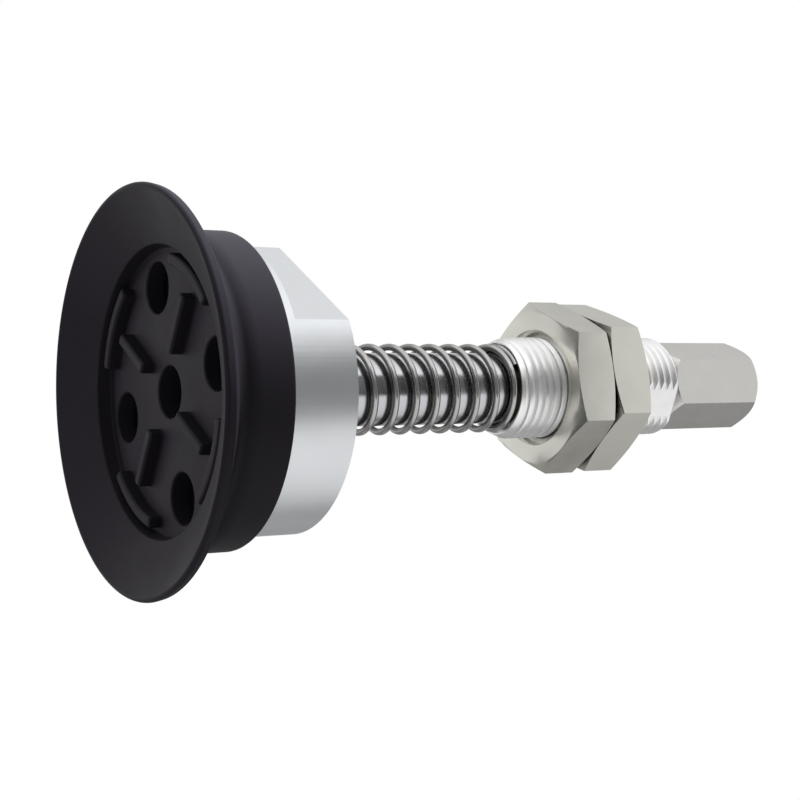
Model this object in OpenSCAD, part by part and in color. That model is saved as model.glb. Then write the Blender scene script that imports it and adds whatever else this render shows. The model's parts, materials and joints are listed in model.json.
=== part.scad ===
// Spring-loaded level compensator with a vacuum suction cup.
// The axis of the whole part is Z. Z = 0 is the plane of the suction lip's edge,
// and +Z runs up through the adapter, spring and threaded sleeve to the vacuum port.

/* [Suction cup] */
// Radius of the lip's outer edge
lip_r = 32.7; // [31:0.1:36]
// Height of the lip's outer edge band
lip_edge_h = 1.9; // [1:0.1:2.4]
// Depth of the cone inside the lip
lip_depth = 4.3; // [4.1:0.1:5]
// Radius of the flat-bottomed recess inside the lip
recess_r = 23.2; // [22.8:0.1:23.6]
// Distance from the lip plane to the cup's floor
floor_z = 6.35; // [5.8:0.05:7]
// Radius of the cup's thick body
cup_r = 25.7; // [25:0.1:27]
// Height from the lip plane to the cup's back
cup_h = 15.1; // [14.6:0.1:17]
// Radius of the five holes in the cup's floor
cup_hole_r = 4.15; // [3.7:0.05:4.5]
// Radius of the circle that the four screws sit on
screw_circle_r = 17.2; // [15:0.1:17.2]

/* [Floor ribs] */
// Width of the four straight ribs
rib_w = 1.9; // [1:0.1:2.5]
// Inner end of the straight ribs
rib_r1 = 7.2; // [5:0.1:9]
// Outer end of the straight ribs
rib_r2 = 17.3; // [14:0.1:19]
// Inner radius of the four curved ribs
arc_rib_r = 20.2; // [19.5:0.1:20.6]
// Width of the curved ribs
arc_rib_w = 1.9; // [1:0.1:2]
// Angle that each curved rib covers
arc_rib_angle = 40; // [20:1:60]

/* [Cup adapter] */
// Radius of the aluminium adapter
adapter_r = 23.55; // [23:0.05:25]
// Length of the aluminium adapter
adapter_h = 11.9; // [11:0.1:16]
// Thickness of the full round flange in front of the wrench flats
flange_h = 2.4; // [1:0.1:4]
// Distance between the adapter's two wrench flats
adapter_af = 39.6; // [36:0.1:44]
// Turn of the adapter's wrench flats about the axis
adapter_flat_turn = 44; // [0:1:90]

/* [Piston rod] */
// Diameter of the polished rod
rod_d = 12.4; // [12.2:0.1:12.6]
// Diameter of the bore that carries the vacuum
rod_bore_d = 6; // [3:0.5:7]
// Diameter of the threaded ends of the rod
rod_thread_d = 10; // [9:0.5:10]

/* [Spring] */
// Diameter of the spring wire
wire_d = 1.2; // [0.8:0.05:1.2]
// Outside diameter of the spring
spring_od = 15.6; // [15.3:0.1:15.7]
// Length of the fitted spring between its seats
spring_len = 43.1; // [36:0.1:60]
// Number of open turns
active_turns = 9.6; // [5:0.1:12]
// Angle at which the wire ends against the sleeve
wire_end_turn = 251.5; // [0:0.5:360]

/* [Threaded sleeve] */
// Thread diameter of the sleeve
sleeve_d = 18; // [18:0.1:20]
// Length of the sleeve
sleeve_len = 35.1; // [33:0.1:50]
// Distance between the two wrench flats at the sleeve's back end
sleeve_af = 16; // [15.6:0.1:17.6]
// Length of the sleeve's wrench flats
sleeve_flat_len = 12; // [8:0.5:20]
// Turn of the sleeve's wrench flats about the axis
sleeve_flat_turn = 127; // [0:1:180]
// Length of each guide bush
bush_len = 12; // [6:0.5:14]
// Outside diameter of the guide bushes
bush_od = 14; // [13.6:0.1:14.4]

/* [Mounting nuts] */
// Distance across the flats of the mounting nuts
nut_af = 27; // [26:0.5:30]
// Thickness of each mounting nut
nut_h = 7.8; // [6:0.1:9]
// Height of the front nut's front face above the lip plane
front_nut_z = 77.7; // [72:0.1:78]
// Turn of the front nut about the axis
front_nut_turn = 6.2; // [0:0.1:60]
// Turn of the rear nut about the axis
rear_nut_turn = 1.6; // [0:0.1:60]

/* [Port adapter] */
// Distance across the flats of the port adapter
port_af = 14.2; // [14:0.1:17]
// Length of the port adapter
port_len = 21; // [20.5:0.5:30]
// Diameter of the tapped vacuum port
port_d = 8.6; // [8:0.1:9]
// Depth of the tapped vacuum port
port_depth = 8.8; // [6:0.1:9]
// Turn of the port adapter about the axis
port_turn = 7.9; // [0:0.1:60]

/* [Hidden] */

$fn = 96;

// Overlap that keeps cutting tools clear of the faces they cut through
cut = 0.5;
// Radial play of a shaft that slides or turns in its hole
running = 0.03;
// Gap left between faces that only rest on each other
seat_gap = 0.02;

rod_r = rod_d / 2;
bush_r = bush_od / 2;

// Cup: land that the lip stands on, drafts, the rounded front of the body, the waist and the ribs
lip_land = 0.5;
lip_edge_draft = 0.35;
floor_draft = 0.3;
shoulder_r = 4.9;
shoulder_z = 9.5;
shoulder_turn = 39;
waist_fillet = 0.8;
rib_round = 0.5;
waist_r = cup_r - shoulder_r * (1 - cos(shoulder_turn));
waist_z = shoulder_z - shoulder_r * sin(shoulder_turn);
cup_edge = 0.5;

// Core plate: a steel disc let into the back of the rubber
core_r = 21.5;
core_h = 2;
core_z = cup_h - core_h;

// Screws: M4 socket heads that stand on the core plate
screw_r = 2;
screw_head_r = 3.5;
screw_head_h = 4;
screw_socket_af = 3;
screw_socket_h = 2.2;
screw_grip = 8;
screw_play = 0.2;

// Adapter: its ends, and the shoulder that the rod stands on
adapter_z = cup_h;
adapter_back_z = adapter_z + adapter_h;
adapter_edge = 0.4;
rod_seat_depth = 1.5;
rod_front_z = adapter_back_z - rod_seat_depth;
rod_spigot_len = 7.6;
passage_r = 4;

// O-rings: radius of the cord, the room round it in a groove, and the size of each ring
ring_cord_r = 0.55;
ring_room = 0.05;
face_ring_r = 6.2;
rod_ring_r = rod_r + running - ring_cord_r - ring_room;
port_ring_r = rod_thread_d / 2 - ring_cord_r - ring_room;

// Sleeve: its ends, the pocket for the spring's last coil and the thread's lead-in
sleeve_r = sleeve_d / 2;
spring_pocket = 0.8;
sleeve_z = adapter_back_z + spring_len - spring_pocket;
sleeve_back_z = sleeve_z + sleeve_len;
spring_pocket_r = spring_od / 2 + 0.15;
lead_in_h = 2;
lead_in_r = sleeve_r - 0.8;
back_edge = 0.25;
relief_r = rod_d / 2 + 0.4;

// Rod: its back shoulder stands just clear of the sleeve's back end
rod_shoulder_z = sleeve_back_z + seat_gap;
rod_back_len = 8;
rod_edge = 0.3;

// Spring: mean radius, how far each closed end turn climbs, and the finish of the sweep
spring_r = (spring_od - wire_d) / 2;
end_turn_rise = wire_d + 0.15;
wire_sides = 8;
steps_per_turn = 20;

// Stop washer: clamped between the rod's shoulder and the port adapter
washer_h = 0.9;
washer_r = 6.75;

// Nuts: the chamfer that rounds the corners, and the countersink of the thread
nut_face_r = nut_af / 2 - 0.1;
nut_chamfer_angle = 22;
countersink_r = sleeve_r + 1.4;
nut_gap = 0.1;
rear_nut_z = front_nut_z + nut_h + nut_gap;

// Port adapter: its ends, the chamfers on the hexagon and the chamber inside
port_z = rod_shoulder_z + washer_h;
port_back_z = port_z + port_len;
port_chamfer_angle = 45;
port_sink = 0.7;
port_front_face_r = port_af / 2 - 0.4;
port_back_face_r = port_af / 2 - 0.6;
spigot_bore_depth = 9.5;
port_ring_z = port_z + rod_back_len + ring_cord_r + ring_room;

// Points of an arc about [cx, cy], from angle a1 to angle a2
function arc(cx, cy, r, a1, a2, steps = 8) =
    [for (i = [0 : steps]) let (a = a1 + (a2 - a1) * i / steps) [cx + r * cos(a), cy + r * sin(a)]];

// Radius of the corners of a hexagon with the given distance across its flats
function hex_corner(af) = af / (2 * cos(30));

// Turned shape: points are [radius, height]
module turned(points) {
    rotate_extrude() polygon(points);
}

// Hexagonal bar with its corners turned off at both ends
module chamfered_hex(af, height, face_r1, face_r2, angle) {
    corner = hex_corner(af);
    reach1 = (corner + cut - face_r1) * tan(angle);
    reach2 = (corner + cut - face_r2) * tan(angle);
    intersection() {
        cylinder(h = height, r = corner, $fn = 6);
        turned([
            [0, 0], [face_r1, 0], [corner + cut, reach1],
            [corner + cut, height - reach2], [face_r2, height], [0, height]
        ]);
    }
}

// Two flats, cut opposite each other from z1 to z2
module flats(af, reach, z1, z2) {
    for (side = [0, 180])
        rotate(side)
            translate([af / 2, -reach, z1])
                cube([reach, 2 * reach, z2 - z1]);
}

// Rubber ring of round section
module o_ring(ring_r, z) {
    translate([0, 0, z])
        rotate_extrude()
            translate([ring_r, 0])
                circle(r = ring_cord_r, $fn = 24);
}

// Four places on the screw circle
module at_screws() {
    for (turn = [0 : 90 : 270])
        rotate(turn)
            translate([screw_circle_r, 0, 0])
                children();
}

// Cross-section of a rib that stands on the cup's floor, with its free corners rounded
module rib_section(inner, outer) {
    polygon(concat(
        [[inner, floor_z + cut]],
        arc(inner + rib_round, lip_depth + rib_round, rib_round, 180, 270, 4),
        arc(outer - rib_round, lip_depth + rib_round, rib_round, 270, 360, 4),
        [[outer, floor_z + cut]]
    ));
}

// Rubber cup: thin flared lip, waist, thick body and ribbed floor with five holes
module suction_cup() {
    lip_back_r = lip_r - lip_edge_draft;
    body = concat(
        [[0, floor_z], [recess_r - floor_draft, floor_z], [recess_r, lip_depth]],
        [[lip_r - lip_land, 0], [lip_r, 0], [lip_back_r, lip_edge_h]],
        arc(waist_r + waist_fillet, waist_z, waist_fillet, 245, 190, 5),
        arc(cup_r - shoulder_r, shoulder_z, shoulder_r, -shoulder_turn, 0, 6),
        arc(cup_r - cup_edge, cup_h - cup_edge, cup_edge, 0, 90, 4),
        [[core_r, cup_h], [core_r, core_z], [0, core_z]]
    );
    color([0.13, 0.13, 0.14])
        difference() {
            union() {
                turned(body);
                for (turn = [45 : 90 : 315]) {
                    rotate(turn)
                        translate([rib_r1, 0, 0])
                            rotate([90, 0, 90])
                                linear_extrude(rib_r2 - rib_r1)
                                    rib_section(-rib_w / 2, rib_w / 2);
                    rotate(turn - arc_rib_angle / 2)
                        rotate_extrude(angle = arc_rib_angle)
                            rib_section(arc_rib_r, arc_rib_r + arc_rib_w);
                }
            }
            translate([0, 0, -cut])
                cylinder(h = cup_h + 2 * cut, r = cup_hole_r);
            at_screws()
                translate([0, 0, -cut])
                    cylinder(h = cup_h + 2 * cut, r = cup_hole_r);
        }
}

// Steel disc in the back of the rubber, which spreads the screws' grip
module core_plate() {
    color([0.6, 0.61, 0.63])
        difference() {
            translate([0, 0, core_z])
                cylinder(h = core_h, r = core_r);
            translate([0, 0, core_z - cut])
                cylinder(h = core_h + 2 * cut, r = passage_r);
            at_screws()
                translate([0, 0, core_z - cut])
                    cylinder(h = core_h + 2 * cut, r = screw_r + screw_play);
        }
}

// Four socket head screws that hold the cup to the adapter
module cup_screws() {
    color([0.2, 0.2, 0.21])
        at_screws()
            difference() {
                union() {
                    translate([0, 0, core_z - screw_head_h])
                        cylinder(h = screw_head_h, r = screw_head_r);
                    translate([0, 0, core_z - cut])
                        cylinder(h = core_h + screw_grip + cut, r = screw_r);
                }
                translate([0, 0, core_z - screw_head_h - cut])
                    cylinder(h = screw_socket_h + cut, r = hex_corner(screw_socket_af), $fn = 6);
            }
}

// Aluminium adapter: round flange, two wrench flats, tapped holes and a passage
module cup_adapter() {
    blind = screw_grip + 1;
    color([0.84, 0.86, 0.88])
        difference() {
            turned([
                [0, adapter_z], [adapter_r - adapter_edge, adapter_z],
                [adapter_r, adapter_z + adapter_edge], [adapter_r, adapter_back_z - adapter_edge],
                [adapter_r - adapter_edge, adapter_back_z], [0, adapter_back_z]
            ]);
            rotate(adapter_flat_turn)
                flats(adapter_af, adapter_r, adapter_z + flange_h, adapter_back_z + cut);
            translate([0, 0, adapter_z - cut])
                cylinder(h = adapter_h, r = passage_r);
            translate([0, 0, rod_front_z - rod_spigot_len - seat_gap])
                cylinder(h = rod_spigot_len + cut, r = rod_thread_d / 2 + running);
            translate([0, 0, rod_front_z])
                cylinder(h = rod_seat_depth + cut, r = rod_r + running);
            ring_groove(face_ring_r, adapter_z - cut, adapter_z + 2 * ring_cord_r + ring_room);
            ring_groove(rod_ring_r, rod_front_z - 2 * ring_cord_r - ring_room, rod_front_z + cut);
            at_screws()
                translate([0, 0, adapter_z - cut])
                    cylinder(h = blind + cut, r = screw_r + running);
        }
}

// Groove for an O-ring, from z1 to z2
module ring_groove(ring_r, z1, z2) {
    half = ring_cord_r + ring_room;
    translate([0, 0, z1])
        difference() {
            cylinder(h = z2 - z1, r = ring_r + half);
            translate([0, 0, -cut])
                cylinder(h = z2 - z1 + 2 * cut, r = ring_r - half);
        }
}

// Seal between the core plate and the adapter, round the vacuum passage
module face_o_ring() {
    color([0.1, 0.1, 0.1])
        o_ring(face_ring_r, adapter_z + ring_cord_r + ring_room / 2);
}

// Seal under the rod's front shoulder
module rod_o_ring() {
    color([0.1, 0.1, 0.1])
        o_ring(rod_ring_r, rod_front_z - ring_cord_r - ring_room / 2);
}

// Hollow polished rod with a threaded spigot at each end
module piston_rod() {
    thread_r = rod_thread_d / 2;
    front = rod_front_z - rod_spigot_len;
    back = port_z + rod_back_len;
    color([0.78, 0.78, 0.8])
        difference() {
            turned([
                [0, front], [thread_r - rod_edge, front], [thread_r, front + rod_edge],
                [thread_r, rod_front_z], [rod_r, rod_front_z], [rod_r, rod_shoulder_z],
                [thread_r, rod_shoulder_z], [thread_r, back - rod_edge],
                [thread_r - rod_edge, back], [0, back]
            ]);
            translate([0, 0, front - cut])
                cylinder(h = back - front + 2 * cut, r = rod_bore_d / 2);
        }
}

// Height of the wire's centre after t turns: a closed turn, the open turns, a closed turn
function wire_z(t, pitch) =
    adapter_back_z + seat_gap + wire_d / 2
    + end_turn_rise * min(t, 1)
    + pitch * min(max(t - 1, 0), active_turns)
    + end_turn_rise * max(t - 1 - active_turns, 0);

// Right-handed compression spring, swept along its coils as one closed surface
module compression_spring() {
    sides = wire_sides;
    turns = active_turns + 2;
    pitch = (spring_len - 2 * seat_gap - wire_d - 2 * end_turn_rise) / active_turns;
    rings = ceil(turns * steps_per_turn);
    points = [
        for (i = [0 : rings])
            let (t = turns * i / rings, a = wire_end_turn - 360 * (turns - t))
                for (k = [0 : sides - 1])
                    let (r = spring_r + wire_d / 2 * cos(360 * k / sides))
                        [r * cos(a), r * sin(a), wire_z(t, pitch) + wire_d / 2 * sin(360 * k / sides)]
    ];
    skin = [
        for (i = [0 : rings - 1], k = [0 : sides - 1])
            let (n = (k + 1) % sides)
                [i * sides + k, i * sides + n, (i + 1) * sides + n, (i + 1) * sides + k]
    ];
    start_cap = [for (k = [sides - 1 : -1 : 0]) k];
    end_cap = [for (k = [0 : sides - 1]) rings * sides + k];
    color([0.72, 0.72, 0.74])
        polyhedron(points = points, faces = concat(skin, [start_cap, end_cap]), convexity = 10);
}

// Threaded sleeve: spring pocket, lead-in, two wrench flats and stepped bore for the bushes
module threaded_sleeve() {
    bush_end_front = sleeve_z + spring_pocket + bush_len;
    bush_end_back = sleeve_back_z - bush_len;
    color([0.88, 0.89, 0.9])
        difference() {
            turned([
                [0, sleeve_z], [lead_in_r, sleeve_z], [sleeve_r, sleeve_z + lead_in_h],
                [sleeve_r, sleeve_back_z - back_edge], [sleeve_r - back_edge, sleeve_back_z],
                [0, sleeve_back_z]
            ]);
            rotate(sleeve_flat_turn)
                flats(sleeve_af, sleeve_r, sleeve_back_z - sleeve_flat_len, sleeve_back_z + cut);
            translate([0, 0, sleeve_z - cut])
                cylinder(h = spring_pocket + cut, r = spring_pocket_r);
            translate([0, 0, sleeve_z])
                cylinder(h = bush_end_front - sleeve_z, r = bush_r);
            translate([0, 0, sleeve_z])
                cylinder(h = sleeve_len, r = relief_r);
            translate([0, 0, bush_end_back])
                cylinder(h = bush_len + cut, r = bush_r);
        }
}

// Thin guide bush that starts at height z
module guide_bush(z) {
    translate([0, 0, z])
        difference() {
            cylinder(h = bush_len, r = bush_r);
            translate([0, 0, -cut])
                cylinder(h = bush_len + 2 * cut, r = rod_r + running);
        }
}

// Bush behind the spring
module front_bush() {
    color([0.62, 0.5, 0.3])
        guide_bush(sleeve_z + spring_pocket);
}

// Bush at the port end
module rear_bush() {
    color([0.62, 0.5, 0.3])
        guide_bush(sleeve_back_z - bush_len);
}

// Hexagonal mounting nut with rounded corners and countersunk bore, front face at height z
module mounting_nut(z, turn) {
    bore_r = sleeve_r + running;
    sink = countersink_r - bore_r;
    translate([0, 0, z])
        difference() {
            rotate(turn)
                chamfered_hex(nut_af, nut_h, nut_face_r, nut_face_r, nut_chamfer_angle);
            turned([
                [0, -cut], [countersink_r + cut, -cut], [bore_r, sink],
                [bore_r, nut_h - sink], [countersink_r + cut, nut_h + cut], [0, nut_h + cut]
            ]);
        }
}

// Nut in front of the bracket
module front_nut() {
    color([0.72, 0.73, 0.68])
        mounting_nut(front_nut_z, front_nut_turn);
}

// Nut behind the bracket
module rear_nut() {
    color([0.74, 0.74, 0.7])
        mounting_nut(rear_nut_z, rear_nut_turn);
}

// Damping washer that stops the rod against the sleeve's back end
module stop_washer() {
    color([0.12, 0.12, 0.12])
        translate([0, 0, rod_shoulder_z])
            difference() {
                cylinder(h = washer_h, r = washer_r);
                translate([0, 0, -cut])
                    cylinder(h = washer_h + 2 * cut, r = rod_thread_d / 2 + running);
            }
}

// Hexagonal adapter on the rod's back end, with the tapped vacuum port
module port_adapter() {
    color([0.73, 0.73, 0.71])
        difference() {
            translate([0, 0, port_z])
                rotate(port_turn)
                    chamfered_hex(
                        port_af, port_len, port_front_face_r, port_back_face_r, port_chamfer_angle
                    );
            translate([0, 0, port_z - cut])
                cylinder(h = spigot_bore_depth + cut, r = rod_thread_d / 2 + running);
            translate([0, 0, port_z])
                cylinder(h = port_len, r = rod_bore_d / 2);
            translate([0, 0, port_back_z - port_depth])
                cylinder(h = port_depth + cut, r = port_d / 2);
            translate([0, 0, port_back_z - port_sink])
                cylinder(h = 2 * port_sink, r1 = port_d / 2, r2 = port_d / 2 + 2 * port_sink);
        }
}

// Seal between the rod's back end and the port adapter
module port_o_ring() {
    color([0.1, 0.1, 0.1])
        o_ring(port_ring_r, port_ring_z);
}

suction_cup();
core_plate();
cup_screws();
cup_adapter();
face_o_ring();
rod_o_ring();
piston_rod();
compression_spring();
threaded_sleeve();
front_bush();
rear_bush();
front_nut();
rear_nut();
stop_washer();
port_adapter();
port_o_ring();
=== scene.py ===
# %% [markdown]
# # A spring-loaded suction cup for a gripper
#
# The part is a vacuum cup on a polished hollow rod. The rod slides and turns in a threaded sleeve,
# a coil spring pushes it forward, and two thin nuts clamp the sleeve to a bracket. A hexagonal
# adapter at the back takes the vacuum line. Its construction comes from CAD as a fixed frame, in
# metres, standing on the cup's lip with the axis along Z. This script dresses that frame: it turns,
# mills and threads the visible pieces again with their small radii and real threads, and gives each
# piece its finish.

# %% Load the frame
import json
import math

import bpy
from mathutils import Matrix, Vector
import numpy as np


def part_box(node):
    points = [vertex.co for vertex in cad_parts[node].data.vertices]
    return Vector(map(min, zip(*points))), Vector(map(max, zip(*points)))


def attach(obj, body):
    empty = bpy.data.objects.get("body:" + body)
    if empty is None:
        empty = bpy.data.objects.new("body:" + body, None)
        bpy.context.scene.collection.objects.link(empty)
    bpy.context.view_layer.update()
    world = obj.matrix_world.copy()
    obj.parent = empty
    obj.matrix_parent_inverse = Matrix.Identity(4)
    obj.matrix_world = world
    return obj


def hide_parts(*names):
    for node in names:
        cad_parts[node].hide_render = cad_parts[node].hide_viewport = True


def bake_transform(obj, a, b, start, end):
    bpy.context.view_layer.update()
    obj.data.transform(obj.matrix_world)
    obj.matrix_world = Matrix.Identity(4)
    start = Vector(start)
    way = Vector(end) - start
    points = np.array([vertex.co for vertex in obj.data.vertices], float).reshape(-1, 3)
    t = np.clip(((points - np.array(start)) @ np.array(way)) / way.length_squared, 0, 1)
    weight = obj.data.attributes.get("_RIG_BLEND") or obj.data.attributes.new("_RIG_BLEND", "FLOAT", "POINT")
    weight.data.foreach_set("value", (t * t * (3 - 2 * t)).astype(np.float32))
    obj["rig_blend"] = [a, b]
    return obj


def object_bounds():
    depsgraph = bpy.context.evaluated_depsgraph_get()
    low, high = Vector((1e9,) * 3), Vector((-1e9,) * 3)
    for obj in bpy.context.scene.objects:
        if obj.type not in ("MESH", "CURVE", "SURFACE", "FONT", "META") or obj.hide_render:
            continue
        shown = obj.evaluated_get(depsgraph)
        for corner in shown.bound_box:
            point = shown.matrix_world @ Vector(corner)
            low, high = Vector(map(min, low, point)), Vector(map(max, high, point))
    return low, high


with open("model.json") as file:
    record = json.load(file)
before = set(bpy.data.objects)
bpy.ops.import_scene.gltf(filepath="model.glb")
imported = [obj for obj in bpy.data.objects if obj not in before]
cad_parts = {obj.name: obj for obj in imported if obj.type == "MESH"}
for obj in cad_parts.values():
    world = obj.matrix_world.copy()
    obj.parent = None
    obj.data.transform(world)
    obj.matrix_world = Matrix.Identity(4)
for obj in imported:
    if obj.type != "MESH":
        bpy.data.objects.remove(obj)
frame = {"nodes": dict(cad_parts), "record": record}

cad_low, cad_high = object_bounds()
record = frame["record"]
print("CAD box, mm:", [round(1000 * (b - a), 2) for a, b in zip(cad_low, cad_high)])

# %% [markdown]
# ## Reading sizes off the frame
#
# Lengths below are in millimetres, as on a workshop drawing, and `MM` turns them into metres at the
# last moment. A piece's height, radius and the turn of a hexagon are read from its CAD node, so
# that a new piece always fits the one that it stands for.

# %% Sizes of a CAD node
MM = 0.001


def reach(node):
    """Lowest height, highest height and outer radius of a CAD node, in millimetres."""
    low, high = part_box(node)
    radius = max((v.co.x ** 2 + v.co.y ** 2) ** 0.5 for v in frame["nodes"][node].data.vertices)
    return low.z / MM, high.z / MM, radius / MM


def corner_turn(node):
    """Angle of a hexagon's first corner, in degrees: its corners are its points furthest out."""
    far = max(frame["nodes"][node].data.vertices, key=lambda v: v.co.x ** 2 + v.co.y ** 2)
    return math.degrees(math.atan2(far.co.y, far.co.x)) % 60


for name in sorted(frame["nodes"]):
    print(name, [round(value, 2) for value in reach(name)])

# %% [markdown]
# ## Four workshop helpers
#
# Nearly every piece here was made on a lathe, so one helper draws a closed outline of radius and
# height, and spins it about Z. It draws as a person does by hand: a plane is merged to one point,
# and the point is extruded from corner to corner. The second helper cuts, joins or crosses two
# solids with a Boolean modifier. The third breaks sharp edges with a Bevel modifier, because no
# real edge is perfectly sharp, and the light that it catches is what makes metal look real. The
# last one gives a finished piece its smooth shading, material, body and CAD node. Its Weighted
# Normal modifier lets the large faces lead the shading, so that a milled flat looks flat right up
# to the narrow bevel along its edge.

# %% Drawing and turning
SAME_POINT = 0.001 * MM


def deselect():
    """Let go of everything, because an operator acts on all that is selected."""
    bpy.ops.object.select_all(action="DESELECT")


def pick(piece):
    """Select one object alone and make it active."""
    deselect()
    piece.select_set(True)
    bpy.context.view_layer.objects.active = piece


def select_all():
    """Enter edit mode on the active object with all of it selected."""
    bpy.ops.object.mode_set(mode="EDIT")
    bpy.ops.mesh.select_all(action="SELECT")


def face_outwards(merge=True):
    """Merge corners that coincide, point every face outwards and leave edit mode."""
    bpy.ops.mesh.select_all(action="SELECT")
    if merge:
        bpy.ops.mesh.remove_doubles(threshold=SAME_POINT)
    bpy.ops.mesh.normals_make_consistent(inside=False)
    bpy.ops.object.mode_set(mode="OBJECT")


def arc(centre_r, centre_z, radius, start, end, steps):
    """Points of an arc in the plane of radius and height, from one angle to another, in degrees."""
    angles = [math.radians(start + (end - start) * i / steps) for i in range(steps + 1)]
    return [(centre_r + radius * math.cos(a), centre_z + radius * math.sin(a)) for a in angles]


def draw(name, outline):
    """Draw a closed outline of (radius, height) points by extruding one vertex round it."""
    deselect()
    bpy.ops.mesh.primitive_plane_add(size=MM)
    piece = bpy.context.object
    piece.name = piece.data.name = name
    select_all()
    bpy.ops.mesh.merge(type="CENTER")
    bpy.ops.transform.translate(value=(outline[0][0] * MM, 0, outline[0][1] * MM))
    for (r1, z1), (r2, z2) in zip(outline, outline[1:] + outline[:1]):
        step = ((r2 - r1) * MM, 0, (z2 - z1) * MM)
        bpy.ops.mesh.extrude_region_move(TRANSFORM_OT_translate={"value": step})
    bpy.ops.mesh.select_all(action="SELECT")
    bpy.ops.mesh.remove_doubles(threshold=SAME_POINT)
    bpy.ops.object.mode_set(mode="OBJECT")
    return piece


def turn(name, outline, steps):
    """Turn a closed outline about the Z axis, as on a lathe."""
    piece = draw(name, outline)
    select_all()
    bpy.ops.mesh.spin(steps=steps, angle=math.tau, center=(0, 0, 0), axis=(0, 0, 1))
    face_outwards()
    return piece


# %% Cutting, softening and fitting
OVERRUN = 1.0  # how far a cutter runs past the metal, in millimetres


def combine(piece, tool, how="DIFFERENCE"):
    """Cut a piece with a tool, join the two, or keep what they share. The tool is used up."""
    pick(piece)
    boolean = piece.modifiers.new("boolean", "BOOLEAN")
    boolean.object, boolean.operation, boolean.solver = tool, how, "EXACT"
    bpy.ops.object.modifier_apply(modifier=boolean.name)
    bpy.data.objects.remove(tool)
    return piece


def soften(piece, width, segments, angle=35):
    """Round every edge sharper than an angle in degrees, to a width in millimetres."""
    pick(piece)
    bevel = piece.modifiers.new("bevel", "BEVEL")
    bevel.width, bevel.segments = width * MM, segments
    bevel.limit_method, bevel.angle_limit = "ANGLE", math.radians(angle)
    bpy.ops.object.modifier_apply(modifier=bevel.name)


def fit(piece, body, material, node):
    """Shade a finished piece, give it its finish and let it ride in place of its CAD node."""
    smooth_below = math.radians(30)
    pick(piece)
    bpy.ops.object.shade_smooth_by_angle(angle=smooth_below)
    flat = piece.modifiers.new("flat faces", "WEIGHTED_NORMAL")
    flat.keep_sharp = True
    bpy.ops.object.modifier_apply(modifier=flat.name)
    piece.data.materials.clear()
    piece.data.materials.append(material)
    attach(piece, body)
    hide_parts(node)
    print(f"{piece.name}: {len(piece.data.polygons)} faces on {body}")


# %% [markdown]
# ## Finishes
#
# A few small helpers each place one shader node, so that a material below reads as a short list of
# steps. A number is set on the node's socket, and another node's output is linked to it.

# %% Helpers that each place one node
def math_into(tree, operation, first, second=0.0):
    """The result of one Math node. Each operand is a number or another node's output."""
    node = tree.nodes.new("ShaderNodeMath")
    node.operation = operation
    for socket, value in zip(node.inputs, (first, second)):
        if isinstance(value, (int, float)):
            socket.default_value = value
        else:
            tree.links.new(value, socket)
    return node.outputs[0]


def noise_into(tree, place, scale, detail, roughness=0.6):
    """The value of a noise texture at a place."""
    noise = tree.nodes.new("ShaderNodeTexNoise")
    noise.inputs["Detail"].default_value = detail
    noise.inputs["Roughness"].default_value = roughness
    tree.links.new(place, noise.inputs["Vector"])
    if isinstance(scale, (int, float)):
        noise.inputs["Scale"].default_value = scale
    else:
        tree.links.new(scale, noise.inputs["Scale"])
    return noise.outputs["Fac"]


def slope_into(tree, value, start, end, low=0.0, high=1.0, smooth=False):
    """A value that goes from low to high while another one goes from start to end."""
    slope = tree.nodes.new("ShaderNodeMapRange")
    slope.interpolation_type = "SMOOTHSTEP" if smooth else "LINEAR"
    slope.inputs["From Min"].default_value = start
    slope.inputs["From Max"].default_value = end
    slope.inputs["To Min"].default_value = low
    slope.inputs["To Max"].default_value = high
    tree.links.new(value, slope.inputs["Value"])
    return slope.outputs["Result"]


def mix_into(tree, factor, first, second):
    """A mix of two colours. Each is three numbers or another node's output."""
    mix = tree.nodes.new("ShaderNodeMix")
    mix.data_type = "RGBA"
    tree.links.new(factor, mix.inputs["Factor"])
    for label, colour in (("A", first), ("B", second)):
        if isinstance(colour, tuple):
            mix.inputs[label].default_value = (*colour, 1)
        else:
            tree.links.new(colour, mix.inputs[label])
    return mix.outputs["Result"]


def split_into(tree, place):
    """A place split into X, Y and Z."""
    split = tree.nodes.new("ShaderNodeSeparateXYZ")
    tree.links.new(place, split.inputs[0])
    return split.outputs


def radius_into(tree, split):
    """The distance from the Z axis, from a place that is split into X, Y and Z."""
    x_squared = math_into(tree, "MULTIPLY", split["X"], split["X"])
    y_squared = math_into(tree, "MULTIPLY", split["Y"], split["Y"])
    return math_into(tree, "SQRT", math_into(tree, "ADD", x_squared, y_squared))


# %% [markdown]
# Two effects turn up in almost every material, so each is a node group with named sockets. Grain is
# the small unevenness of any real surface: it gives a height for bump, and a mask that lets colour
# and roughness drift a little from place to place. Turning is the very fine groove that a lathe
# tool leaves. It runs round the axis, so its height depends only on radius plus height, which works
# on the side of a cylinder and on its end faces at once. Both groups read Object coordinates,
# where the whole frame is in metres, and their scales are counted per metre.

# %% The grain group
def new_group(name, inputs, output_labels):
    """A shader node group with named inputs and float outputs, and its two end nodes."""
    group = bpy.data.node_groups.new(name, "ShaderNodeTree")
    for label, kind, default in inputs:
        socket = group.interface.new_socket(label, in_out="INPUT", socket_type=kind)
        if default is not None:
            socket.default_value = default
    for label in output_labels:
        group.interface.new_socket(label, in_out="OUTPUT", socket_type="NodeSocketFloat")
    start, end = group.nodes.new("NodeGroupInput"), group.nodes.new("NodeGroupOutput")
    return group, start.outputs, end.inputs


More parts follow.
